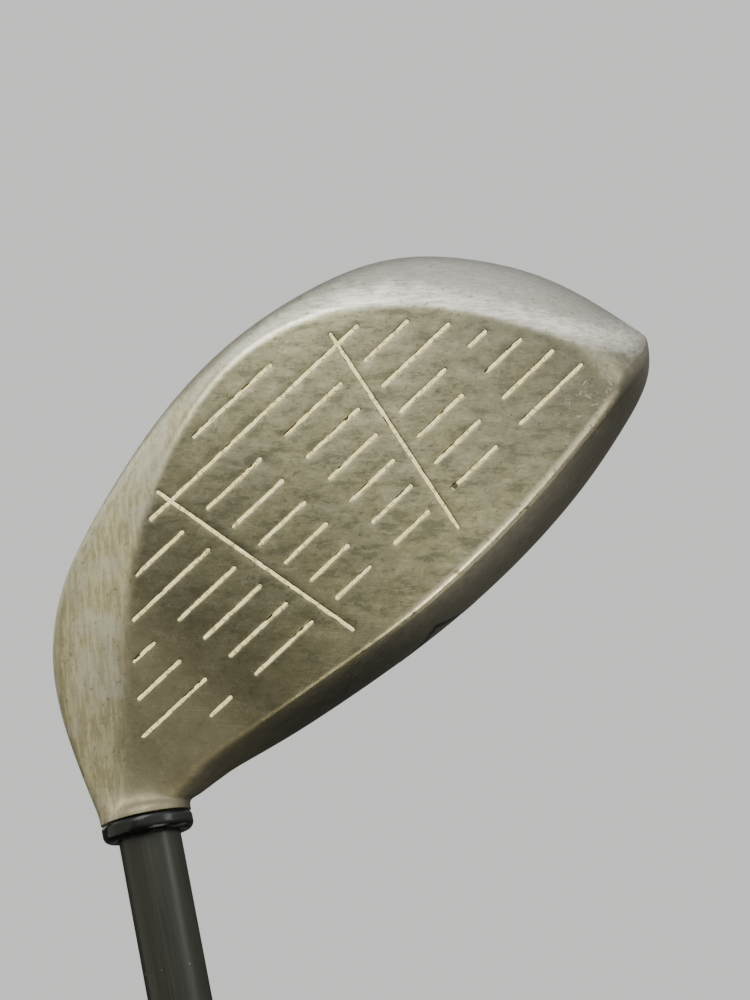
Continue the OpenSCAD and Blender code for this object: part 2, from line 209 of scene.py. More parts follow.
def build_rings(ts):
    """The rings' points, and each one's distance behind the topline and inside the face's lower crease."""
    rows, edges = [], []
    for t in ts:
        ring = Ring(t)
        whole = ring.whole
        s_r, s_e = ring.s[REAR_POINT], ring.s[CREASE_POINT]
        r_top, r_low = (min(r, ROUND_LIMIT * whole) for r in radii(t))
        face = whole - s_e
        m_top = min(CREASE_MARGIN * r_top, 0.25 * face)
        m_low = min(CREASE_MARGIN * r_low, 1.3, 0.25 * face)
        cuts = REAR_POINT + STEPS["sole"] * np.array(SOLE_CUT)
        s_cut = np.interp(cuts, np.arange(len(ring.s)), ring.s)
        anchor = {"K-": -m_top, "K+": m_top, "R": s_r, "S0": s_cut[0], "S1": s_cut[1],
                  "E-": s_e - m_low, "E+": s_e + m_low}
        s = []
        for first, last, n in COLUMNS:
            lo, hi = anchor[first], anchor[last]
            if first == "E+":
                hi += whole
            s.append(lo + (hi - lo) * np.arange(n) / n)
        s = np.concatenate(s)
        near_top = np.minimum(np.abs(s), np.abs(s - whole))
        near_low = np.abs(s - s_e)
        base = min(ROUND_BASE, 0.03 * whole)
        r = base + (r_top - base) * (1 - ease((near_top - r_top) / (ROUND_FADE * r_top)))
        r = np.maximum(r, base + (r_low - base) * (1 - ease((near_low - r_low) / (ROUND_FADE * r_low))))
        rows.append(ring.smooth(s, r))
        past_top = np.where(s > s_e, s - whole, s)
        past_low = np.where(s < 0, s + whole, s) - s_e
        edges.append(np.stack([past_top, past_low], 1))
    return np.array(rows), np.array(edges)


FACE_T = (2.6, 11.6)
SOLE_T = (3.9, 10.725)
RING_T = np.concatenate([
    np.linspace(0, FACE_T[0], 34)[:-1], np.linspace(FACE_T[0], SOLE_T[0], 18)[:-1],
    np.linspace(SOLE_T[0], SOLE_T[1], 96)[:-1], np.linspace(SOLE_T[1], FACE_T[1], 18)[:-1],
    FACE_T[1] + (12 - FACE_T[1]) * np.sin(np.linspace(0, np.pi / 2, 12))[:-1]])
N_RINGS = len(RING_T)
COL_START = dict(zip([c[0] for c in COLUMNS], np.cumsum([0] + [c[2] for c in COLUMNS[:-1]])))
N_COLS = sum(c[2] for c in COLUMNS)
I_FACE = [int(np.argmin(abs(RING_T - t))) for t in FACE_T]
I_SOLE = [int(np.argmin(abs(RING_T - t))) for t in SOLE_T]

OUTER, EDGES = build_rings(RING_T)
POLE = np.array([TOE[0], TOE[1], TOE[6]])


def grid_normals(p):
    """Outward normals of the closed-round grid."""
    def slope(p, axis, closed):
        fwd, bwd = np.roll(p, -1, axis) - p, p - np.roll(p, 1, axis)
        if not closed:
            fwd[-1], bwd[0] = bwd[-1], fwd[0]
        hf = np.linalg.norm(fwd, axis=2, keepdims=True) + 1e-12
        hb = np.linalg.norm(bwd, axis=2, keepdims=True) + 1e-12
        return (fwd / hf * hb + bwd / hb * hf) / (hf + hb)
    n = np.cross(slope(p, 1, True), slope(p, 0, False))
    n /= np.linalg.norm(n, axis=2, keepdims=True) + 1e-12
    if np.sum(n * (p - p.mean((0, 1)))) < 0:
        n = -n
    return n


NORMALS = grid_normals(OUTER)


def inner_rings():
    out = []
    for t, ring in zip(RING_T, OUTER):
        r = rib_at(t)[0]
        c = ring.mean(0)
        along = unit([r[2] - r[0], r[3] - r[1], 0.0])
        across = np.array([along[1], -along[0], 0.0])
        span = np.ptp(ring @ along)
        front, back = ring[:, 2].min(), ring[:, 2].max()
        full = ease((t - 1.8) / 2.2)
        wall, wall_face = mix(COLLAR_WALL, BODY_WALL, full), mix(COLLAR_WALL, FACE_WALL, full)
        k_along = max(1 - 2 * wall / max(span, 0.1), 0.3)
        k_depth = max(1 - (wall + wall_face) / max(back - front, 0.1), 0.3)
        shift = wall * ease((c[0] - 60) / (TOE[0] - 60))
        mid0 = np.array([c[0], c[1], (front + back) / 2])
        mid = np.array([c[0] - shift, c[1], mid0[2] + (wall_face - wall) * min(full, k_depth) / 2])
        d = ring - mid0
        inner = mid + np.outer(d @ along, along) * k_along + np.outer(d @ across, across) * k_depth
        inner[:, 2] += d[:, 2] * k_depth
        out.append(inner)
    return np.array(out)


INNER = inner_rings()


# ---- mesh helpers ----
def make_object(name, verts, faces, normals=None, smooth=True, values=None):
    mesh = bpy.data.meshes.new(name)
    mesh.from_pydata(np.asarray(verts, float).tolist(), [], faces)
    for key, column in (values or {}).items():
        mesh.attributes.new(key, "FLOAT", "POINT").data.foreach_set("value", np.asarray(column, np.float32))
    mesh.validate()
    mesh.update()
    if smooth:
        mesh.shade_smooth()
    if normals is not None:
        mesh.normals_split_custom_set_from_vertices(np.asarray(normals, float).tolist())
    obj = bpy.data.objects.new(name, mesh)
    bpy.context.scene.collection.objects.link(obj)
    return obj


def grid_faces(has, base, pole, flip=False):
    """Faces of the cells that belong to a piece, with a fan to the pole at the toe."""
    faces = []
    for i, j in np.ndindex(N_RINGS, N_COLS):
        if has(i, j):
            a, b = base + i * N_COLS + j, base + i * N_COLS + (j + 1) % N_COLS
            faces.append([a, b, b + N_COLS, a + N_COLS] if i < N_RINGS - 1 else [a, b, pole])
    return [f[::-1] for f in faces] if flip else faces


def used_only(verts, faces, *others):
    """Drops the vertices that no face uses, from the vertices and from their other values."""
    keep = sorted({i for f in faces for i in f})
    new = {old: k for k, old in enumerate(keep)}
    faces = [[new[i] for i in f] for f in faces]
    return [verts[i] for i in keep], faces, *([o[i] for i in keep] for o in others)


def in_face(i, j):
    return I_FACE[0] <= i < I_FACE[1] and j >= COL_START["E-"]


def in_sole(i, j):
    return I_SOLE[0] <= i < I_SOLE[1] and COL_START["S0"] <= j < COL_START["S1"]


def in_body(i, j):
    return not in_face(i, j) and not in_sole(i, j)


def rotate_dirs(n):
    return np.asarray(n) @ TO_CLUB


EDGE_REACH, NEAR_CREASE, CROWN_SHARE = 12.0, 1.0, 0.45


def edge_values(e, groove_dirt_and_shade=None):
    """Values without a jump: mm from the topline, mm inside the face, and crown or sole side."""
    at_crease = np.abs(e[:, 1]) < NEAR_CREASE
    inside = np.where(at_crease, e[:, 1] > 0, e[:, 0] < 0)
    from_top = np.where(at_crease, EDGE_REACH, np.minimum(np.abs(e[:, 0]), EDGE_REACH))
    from_low = np.abs(e[:, 1])
    far_top = np.where(at_crease, 99, np.abs(e[:, 0]))
    values = {"edge_top": from_top, "edge_face": np.where(inside, 1, -1) * np.minimum(from_top, from_low),
              "edge_side": np.clip(from_low - CROWN_SHARE * far_top, -4, 4)}
    return values if groove_dirt_and_shade is None else dict(values, groove_dirt_and_shade=groove_dirt_and_shade)


BORE_R, BORE_DEPTH = 5.42, 34


def shell_piece(name, has):
    """A closed solid between the outer and the inner grid, over the cells that belong to it."""
    n = N_RINGS * N_COLS
    outer, inner = OUTER.reshape(-1, 3), INNER.reshape(-1, 3)
    # keep the bore for the hosel tube clear
    axis = inner @ SHAFT_DIR
    radial = inner - np.outer(axis, SHAFT_DIR)
    dist = np.linalg.norm(radial, axis=1)
    bore = (dist < BORE_R) & (axis < BORE_DEPTH)
    cleared = np.outer(axis, SHAFT_DIR) + radial / np.maximum(dist, 1e-6)[:, None] * BORE_R
    inner = np.where(bore[:, None], cleared, inner)
    inner_pole = POLE - np.array([BODY_WALL, 0, 0])
    verts = np.vstack([outer, inner, [POLE], [inner_pole]])
    normals = np.vstack([NORMALS.reshape(-1, 3), -NORMALS.reshape(-1, 3), [[1, 0, 0]], [[-1, 0, 0]]])
    faces = grid_faces(has, 0, 2 * n) + grid_faces(has, n, 2 * n + 1, flip=True)
    # walls between the grids, along each side of a cell where the piece ends
    for i, j in np.ndindex(N_RINGS, N_COLS):
        if not has(i, j):
            continue
        k, inner_row = (j + 1) % N_COLS, i < N_RINGS - 1
        a, b = i * N_COLS + j, i * N_COLS + k
        c, d = a + N_COLS, b + N_COLS
        for p, q, ends in ((a, c, inner_row and not has(i, (j - 1) % N_COLS)),
                           (d, b, inner_row and not has(i, k)),
                           (b, a, i == 0 or not has(i - 1, j)),
                           (c, d, inner_row and not has(i + 1, j))):
            if ends:
                faces.append([p, q, q + n, p + n])
    edges = np.vstack([EDGES.reshape(-1, 2)] * 2 + [[[0, 0]]] * 2)
    v, f, m, e = used_only(verts, faces, normals, edges)
    values = edge_values(np.array(e))
    return make_object(name, to_club(np.array(v)), f, rotate_dirs(np.array(m)), values=values)


# ---- scorelines ----
ROW_TOP, ROW_PITCH, HALF_BLANK = -4.8, 4.36, 2.5
BLANKS = [(23.4, -0.87), (39.1, -0.92), (50.4, -0.17), (61.9, 0.66), (75.4, 0.7)]
HEEL_ENDS = [17.2, 8, 11.4, 14.6, 18.6, 23.3]
TOE_ENDS = [90.2, 88.4, 86.1, 83.1, 79.9, 75.8]


def row_v(r):
    return ROW_TOP - ROW_PITCH * r


def all_lines():
    lines = []
    for r in range(6):
        cuts = [a + shift * r for a, shift in (BLANKS if r < 4 else BLANKS[1:4])]
        starts = [HEEL_ENDS[r]] + [c + HALF_BLANK for c in cuts]
        ends = [c - HALF_BLANK for c in cuts] + [TOE_ENDS[r]]
        lines += [((s, row_v(r)), (e, row_v(r))) for s, e in zip(starts, ends)]
    lines += [((30.1, row_v(6)), (70.1, row_v(6))), ((42.5, row_v(7)), (57.2, row_v(7)))]
    lines += [((61, -0.3), (66.5, -32.6)), ((40.1, 0), (33.4, -33))]
    return [(np.array(p, float), np.array(q, float)) for p, q in lines]


LINES = all_lines()
GROOVE = ([0, 0.18, 0.29, 0.36, 0.46], [0.35, 0.34, 0.09, 0.02, 0.0])


def groove_depth(a, v):
    """Depth below the face from the nearest scoreline."""
    best = np.full(np.shape(a), 9.0)
    for p, q in LINES:
        d = q - p
        t = np.clip(((a - p[0]) * d[0] + (v - p[1]) * d[1]) / (d @ d), 0, 1)
        best = np.minimum(best, np.hypot(a - p[0] - t * d[0], v - p[1] - t * d[1]))
    return np.interp(best, *GROOVE), best


def stadium(p, q, r, step=1.1):
    d = q - p
    length = np.linalg.norm(d)
    u = d / length
    n = np.array([-u[1], u[0]])
    m = max(int(length / step), 1)
    turns = np.linspace(0, np.pi, max(int(r * 16), 4), endpoint=False)
    pts = []
    for first, last, along, out in ((p, q, u, n), (q, p, -u, -n)):
        pts += [first + along * length * k / m - out * r for k in range(m)]
        pts += [last + r * (along * math.sin(x) - out * math.cos(x)) for x in turns]
    return pts


def surface_lookup(j0):
    """Point, normal and edge distances of the smooth face, straight behind a place on it."""
    cols = list(range(j0 - 1, N_COLS)) + [0, 1]
    pts, nrm, edg = (grid[I_FACE[0] - 1:I_FACE[1] + 2][:, cols] for grid in (OUTER, NORMALS, EDGES))
    rows, n = pts.shape[:2]
    flat, flat_n, flat_e = pts.reshape(-1, 3), nrm.reshape(-1, 3), edg.reshape(-1, 2)
    tris = []
    for i, j in np.ndindex(rows - 1, n - 1):
        a, c = i * n + j, (i + 1) * n + j + 1
        tris += [(a, a + 1, c), (a, c, c - 1)]
    tree = mathutils.bvhtree.BVHTree.FromPolygons([Vector(p) for p in flat], tris, all_triangles=True)

    def at(a, v):
        hit, _, k, _ = tree.ray_cast(Vector((a, v, -60)), Vector((0, 0, 1)))
        if hit is None:
            hit, _, k, _ = tree.find_nearest(Vector((a, v, face_depth(a, v))))
        corners = list(tris[k])
        m = np.vstack([flat[corners].T, [1, 1, 1]])
        weights = np.linalg.lstsq(m, np.append(np.array(hit), 1), rcond=None)[0]
        return np.array(hit), unit(weights @ flat_n[corners]), weights @ flat_e[corners]
    return at


FACE_AT = surface_lookup(COL_START["E-"])


def inside_polygon(poly, x, y):
    x0, y0 = poly[:, 0], poly[:, 1]
    x1, y1 = np.roll(x0, -1), np.roll(y0, -1)
    inside = np.zeros(len(x), bool)
    for k in range(len(poly)):
        cross = (y0[k] > y) != (y1[k] > y)
        inside ^= cross & (x < (x1[k] - x0[k]) * (y - y0[k]) / (y1[k] - y0[k] + 1e-12) + x0[k])
    return inside


def wound(tris, flat, way):
    """The triangles of a flat filling, all wound the same way round."""
    faces = []
    for f in tris:
        p, q, r = (flat[k] for k in f)
        turn = (q[0] - p[0]) * (r[1] - p[1]) - (q[1] - p[1]) * (r[0] - p[0])
        faces.append(list(f) if turn * way > 0 else list(f)[::-1])
    return faces


def swept(rows, m, flip=False):
    """The faces of a closed profile of m points carried along a number of places, with both ends closed."""
    faces = [[k * m + i, (k + 1) * m + i, (k + 1) * m + (i + 1) % m, k * m + (i + 1) % m]
             for k in range(rows - 1) for i in range(m)]
    faces += [list(range(m)), [(rows - 1) * m + i for i in range(m)][::-1]]
    return [f[::-1] for f in faces] if flip else faces


def face_piece():
    """The face: a fine triangulation that follows the scorelines' edges, closed behind."""
    i0, i1 = I_FACE
    j0, j1 = COL_START["E-"], N_COLS
    loop = [(i, j0) for i in range(i0, i1)] + [(i1, j) for j in range(j0, j1)]
    loop += [(i, 0) for i in range(i1, i0, -1)] + [(i0, j) for j in range(j1, j0, -1)]
    loop = [(i, j % N_COLS) for i, j in loop]
    rim_out = np.array([OUTER[i, j] for i, j in loop])
    rim_in = np.array([INNER[i, j] for i, j in loop])
    n_rim = len(loop)
    pts = [tuple(p[:2]) for p in rim_out]
    edges = [(k, (k + 1) % n_rim) for k in range(n_rim)]
    for p, q in LINES:
        for r in GROOVE[0][1:]:
            ring = stadium(p, q, r)
            base = len(pts)
            pts += [tuple(x) for x in ring]
            edges += [(base + k, base + (k + 1) % len(ring)) for k in range(len(ring))]
        base = len(pts)
        m = max(int(np.linalg.norm(q - p) / 1.1), 1)
        pts += [tuple(mix(p, q, k / m)) for k in range(m + 1)]
        edges += [(base + k, base + k + 1) for k in range(m)]
    # the crease's own points, and an even filling of the rest
    crease = OUTER[i0 + 1:i1, j0 + 1:COL_START["E+"] + 3].reshape(-1, 3)
    fill = crease[groove_depth(crease[:, 0], crease[:, 1])[1] > 0.62]
    pts += [tuple(p[:2]) for p in fill]
    step = 0.9
    ga, gv = np.meshgrid(np.arange(0, 105, step), np.arange(-45, 14, step))
    ga[1::2] += step / 2
    ga, gv = ga.ravel(), gv.ravel()
    flat_rim = np.array([OUTER[i, max(j, COL_START["E+"] + 3) if j >= j0 else j][:2] for i, j in loop])
    ok = inside_polygon(flat_rim, ga, gv)
    ga, gv = ga[ok], gv[ok]
    far = np.min(np.hypot(ga[:, None] - flat_rim[:, 0], gv[:, None] - flat_rim[:, 1]), 1) > 0.45
    far &= groove_depth(ga, gv)[1] > 0.9
    pts += list(zip(ga[far], gv[far]))
    fill_rim = mathutils.geometry.delaunay_2d_cdt
    out = fill_rim([Vector(p) for p in pts], edges, [list(range(n_rim))], 1, 1e-4, True)
    v2 = np.array([tuple(p) for p in out[0]])
    found = [FACE_AT(a, v) for a, v in v2]
    verts, normals, edge = (np.array(column) for column in zip(*found))
    new_of = {o: new for new, olds in enumerate(out[3]) for o in olds}
    rim = [new_of[k] for k in range(n_rim)]
    verts[rim] = rim_out
    normals[rim] = np.array([NORMALS[i, j] for i, j in loop])
    edge[rim] = np.array([EDGES[i, j] for i, j in loop])
    # the scorelines sink into the face, and tilt its normals
    a, v = v2[:, 0], v2[:, 1]
    depth, near = groove_depth(a, v)
    verts = verts - normals * depth[:, None]
    e = 0.03
    slope_a = (groove_depth(a + e, v)[0] - groove_depth(a - e, v)[0]) / (2 * e)
    slope_v = (groove_depth(a, v + e)[0] - groove_depth(a, v - e)[0]) / (2 * e)
    normals = normals + np.stack([slope_a, slope_v, 0 * a], 1)
    normals /= np.linalg.norm(normals, axis=1, keepdims=True)
    faces = wound(out[2], v2, -1)
    # back: the same rim moved in, filled coarsely
    n = len(verts)
    back = fill_rim([Vector(p[:2]) for p in rim_in], [], [list(range(n_rim))], 1, 1e-5, True)
    bv = np.array([tuple(p) for p in back[0]])
    back_w = face_depth(bv[:, 0], bv[:, 1]) + FACE_WALL
    back_of = {}
    for new, olds in enumerate(back[3]):
        for o in olds:
            back_of[o] = new
            back_w[new] = rim_in[o][2]
    verts = np.vstack([verts, np.stack([bv[:, 0], bv[:, 1], back_w], 1)])
    normals = np.vstack([normals, np.tile([0, 0, 1.0], (len(bv), 1))])
    faces += [[n + k for k in f] for f in wound(back[2], bv, 1)]
    for k in range(n_rim):
        m = (k + 1) % n_rim
        faces.append([rim[m], rim[k], n + back_of[k], n + back_of[m]])
    edge = np.vstack([edge, np.zeros((len(bv), 2))])
    # painted shade and dirt: darker round each scoreline, where the face drops into its groove
    groove_dirt_and_shade = np.append(1 - ease((near - 0.34) / 0.14), np.zeros(len(bv)))
    values = edge_values(edge, groove_dirt_and_shade)
    return make_object("head_face", to_club(verts), faces, rotate_dirs(normals), values=values)


body = shell_piece("head_body", in_body)
sole = shell_piece("head_sole", in_sole)
face = face_piece()


# ---- paint in the scorelines: one rounded strip each, worn away here and there ----
def wander(key, x, pitch):
    """A smooth seeded curve along x, about -1 to 1."""
    knots = np.random.default_rng(key).uniform(-1, 1, 64)
    place = np.asarray(x, float) / pitch
    i = np.floor(place).astype(int)
    return mix(knots[i % 64], knots[(i + 1) % 64], ease(place - i))


PAINT_HALF, PAINT_SUNK, PAINT_EDGE, PAINT_BOTTOM = 0.31, 0.06, 0.04, 0.42


def paint_strip(number, p, q):
    d = q - p
    length = np.linalg.norm(d)
    u = d / length
    across = np.array([-u[1], u[0]])
    runs = np.concatenate([PAINT_HALF * (np.cos(np.linspace(np.pi, np.pi / 2, 7)[:-1])),
                           np.linspace(0, length, max(int(length / 0.3), 4)),
                           length + PAINT_HALF * np.sin(np.linspace(0, np.pi / 2, 7)[1:])])
    over = np.maximum(np.maximum(-runs, runs - length), 0)
    half = np.sqrt(np.maximum(PAINT_HALF ** 2 - over ** 2, 0.02 ** 2))
    bare = ease((wander(300 + number, runs, 2.6) - 0.50) / 0.3)
    bare = bare * ease((wander(400 + number, runs, 0.7) + 0.5) / 0.8)
    left = half * (1 - 0.30 * ease(wander(100 + number, runs, 1.1)) - 0.5 * bare)
    right = half * (1 - 0.22 * ease(wander(200 + number, runs, 0.9)))
    sunk = PAINT_SUNK + 0.02 * wander(500 + number, runs, 0.5) + 0.03 * bare
    verts = []
    shares = (-1, -0.86, -0.4, 0.1, 0.6, 0.9, 1)
    for k, run in enumerate(runs):
        top = [(x * (right[k] if x > 0 else left[k]), sunk[k] + PAINT_EDGE * x ** 6) for x in shares]
        for x, depth in top + [(right[k], PAINT_BOTTOM), (-left[k], PAINT_BOTTOM)]:
            point, normal, _ = FACE_AT(*(p + u * run + across * x))
            verts.append(point - normal * depth)
    return verts, swept(len(runs), len(shares) + 2)


def paint_piece():
    verts, faces = [], []
    for number, (p, q) in enumerate(LINES):
        v, f = paint_strip(number, p, q)
        faces += [[len(verts) + i for i in face_] for face_ in f]
        verts += v
    return make_object("scoreline_fill", to_club(np.array(verts)), faces)


paint = paint_piece()


# ---- the mark on the crown: a painted chevron, its places given as (rib, mm behind the topline) ----
MARK_ENDS, MARK_APEX = ((5.45, 22.5), (6.86, 20.5)), (6.27, 10.5)
MARK_HALF, MARK_LIFT, MARK_SUNK, MARK_STEPS = 0.70, 0.03, 0.15, 26


def crown_point(t, back):
    """Point and normal on the crown, at a rib and a distance behind the topline."""
    columns = slice(0, COL_START["S0"])
    row = float(np.interp(t, RING_T, np.arange(N_RINGS)))
    i = int(row)
    found = []
    for k in (i, i + 1):
        s = EDGES[k, columns, 0]
        found.append([[np.interp(back, s, grid[k, columns, c]) for c in range(3)]
                      for grid in (OUTER, NORMALS)])
    point, normal = mix(np.array(found[0]), np.array(found[1]), row - i)
    return point, unit(normal)


def crown_chevron():
    """A thin closed strip that lies on the crown along both legs of the chevron."""
    ends, apex = np.array(MARK_ENDS), np.array(MARK_APEX)
    shares = np.linspace(0, 1, MARK_STEPS)
    path = [crown_point(*mix(ends[0], apex, x)) for x in shares]
    path += [crown_point(*mix(apex, ends[1], x)) for x in shares[1:]]
    at, up = np.array([p for p, _ in path]), np.array([n for _, n in path])
    leg = np.diff(at, axis=0)
    leg /= np.linalg.norm(leg, axis=1, keepdims=True)
    tangent = np.vstack([leg[:1], leg[:-1] + leg[1:], leg[-1:]])
    tangent /= np.linalg.norm(tangent, axis=1, keepdims=True)
    side = np.cross(tangent, up)
    reach = np.ones(len(at))
    reach[1:-1] = 1 / np.sqrt(np.maximum((1 + np.sum(leg[:-1] * leg[1:], 1)) / 2, 0.08))
    profile = ((-1, 0.005), (-0.8, MARK_LIFT), (0.8, MARK_LIFT), (1, 0.005),
               (1, -MARK_SUNK), (-1, -MARK_SUNK))
    verts = []
    for k in range(len(at)):
        out = side[k] * MARK_HALF * reach[k]
        verts += [at[k] + out * x + up[k] * z for x, z in profile]
    faces = swept(len(at), len(profile), flip=True)
    return make_object("crown_mark", to_club(np.array(verts)), faces, smooth=False)


chevron = crown_chevron()


# ---- lathe ----
def lathe(name, profile, sides=128):
    """Turns a closed (r, z) profile, in mm, round the shaft axis."""
    prof = np.array(profile, float)
    m = len(prof)
    verts = [(r * math.cos(2 * math.pi * k / sides), r * math.sin(2 * math.pi * k / sides), z)
             for k in range(sides) for r, z in prof]
    faces = [[k % len(verts) for k in f] for f in swept(sides + 1, m)[:-2]]
    return make_object(name, np.array(verts) * MM, faces)


def arc(cx, cz, r, a0, a1, n):
    turns = np.radians(np.linspace(a0, a1, n))
    return [(cx + r * math.cos(x), cz + r * math.sin(x)) for x in turns]


f_lo, f_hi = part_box("ferrule")
FER_Z0, FER_Z1 = f_lo.z / MM, f_hi.z / MM
BEAD_LOW, BEAD_HIGH = 1.15, 0.9
TIP_R = 4.5
bead = [(TIP_R, FER_Z0 + 0.05)] + arc(HOSEL_R - BEAD_LOW, FER_Z0 + BEAD_LOW, BEAD_LOW, -80, 0, 12)
bead += arc(HOSEL_R - BEAD_HIGH, FER_Z1 - BEAD_HIGH, BEAD_HIGH, 0, 70, 10) + [(TIP_R, FER_Z1)]
ferrule = lathe("ferrule_ring", bead)

TAPER_END, BUTT_LEN, BUTT_R, TIP_BORE_R = 919.2, 275.0, 7.62, 2.5
s_lo, s_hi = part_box("shaft_tube")
outline = [(BUTT_R, s_lo.z / MM)] + [(BUTT_R, z) for z in np.linspace(20, BUTT_LEN, 10)]
outline += [(mix(BUTT_R, TIP_R, x), mix(BUTT_LEN, TAPER_END, x)) for x in np.arange(1, 25) / 24]
outline += [(TIP_R, z) for z in np.linspace(TAPER_END + 5, s_hi.z / MM, 30)]
outline += [(TIP_BORE_R, s_hi.z / MM), (TIP_BORE_R, TAPER_END)]
outline += [(BUTT_R - 1, BUTT_LEN), (BUTT_R - 1, s_lo.z / MM)]
shaft = lathe("shaft", outline)

# ---- grip: a rubber sleeve with a cut diamond tread between plain bands ----
g_lo, g_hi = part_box("grip_sleeve")
G0, G1 = g_lo.z / MM, g_hi.z / MM
PROFILE_Z = [G0, G0 + 3, 16, 60, 160, G1 - 4, G1 - 1]
PROFILE_R = [14, 13.7, 12.6, 11.6, 10.1, 9, 9]
GRIP_SIDES, TREAD_TURNS, TREAD_PITCH, TREAD_DEPTH = 176, 22, 5.2, 0.34
PLAIN_BANDS = [(G0, 15.0), (98.0, 104.0), (184.0, 188.0), (G1 - 9, G1)]


def tread(turn, z):
    """Depth of the tread: two crossing sets of grooves, with a ring groove beside each plain band."""
    plain = np.zeros_like(z)
    for lo, hi in PLAIN_BANDS:
        plain = np.maximum(plain, ease((z - lo + 1.2) / 1.2) * ease((hi + 1.2 - z) / 1.2))
    cut = np.zeros_like(z)
    for way in (-1, 1):
        wave = np.abs(((turn * TREAD_TURNS + way * z / TREAD_PITCH) + 0.5) % 1 - 0.5)
        cut = np.maximum(cut, 1 - ease((wave - 0.05) / 0.09))
    ring = np.zeros_like(z)
    for lo, hi in PLAIN_BANDS:
        for edge in (lo, hi):
            ring = np.maximum(ring, 1 - ease((np.abs(z - edge) - 0.25) / 0.5))
    inner = ease((z - G0 - 6) / 2) * ease((G1 - 3 - z) / 2)
    return TREAD_DEPTH * np.maximum(cut * (1 - plain), ring * 0.8 * inner)


def grip_piece():
    """The sleeve's outline turned round the shaft, with the tread pressed in."""
    zs = np.concatenate([np.linspace(G0, 15, 14)[:-1], np.linspace(15, G1 - 4, 500),
                         np.linspace(G1 - 4, G1 - 1.2, 5)[1:]])
    shape = [(np.interp(z, PROFILE_Z, PROFILE_R), z) for z in zs]
    rim = arc(8.45, G1 - 0.55, 0.55, 12, 90, 6) + [(7.66, G1), (7.66, G1 - 2), (7.86, G1 - 2), (7.86, G0)]
    obj = lathe("grip", shape + rim, GRIP_SIDES)
    co = np.empty(len(obj.data.vertices) * 3)
    obj.data.vertices.foreach_get("co", co)
    co = co.reshape(-1, len(shape) + len(rim), 3)
    r = np.hypot(co[..., 0], co[..., 1]) / MM
    turn = np.arctan2(co[..., 1], co[..., 0]) / (2 * np.pi)
    depth = tread(turn, co[..., 2] / MM)
    depth[:, len(shape):] = 0
    co[..., :2] *= (1 - depth / r)[..., None]
    obj.data.vertices.foreach_set("co", co.ravel())
    obj.data.update()
    return obj


grip = grip_piece()
cap_face = [(2.4, 0.55), (2.75, 0.0), (6.4, 0.0), (6.7, 0.3), (7.3, 0.3), (7.6, 0.0), (10.0, 0.0)]
cap = lathe("cap", cap_face + arc(10, 4, 4, -84, 0, 20) + [(14, 6), (7.82, 6), (7.82, 4), (2.4, 4)])


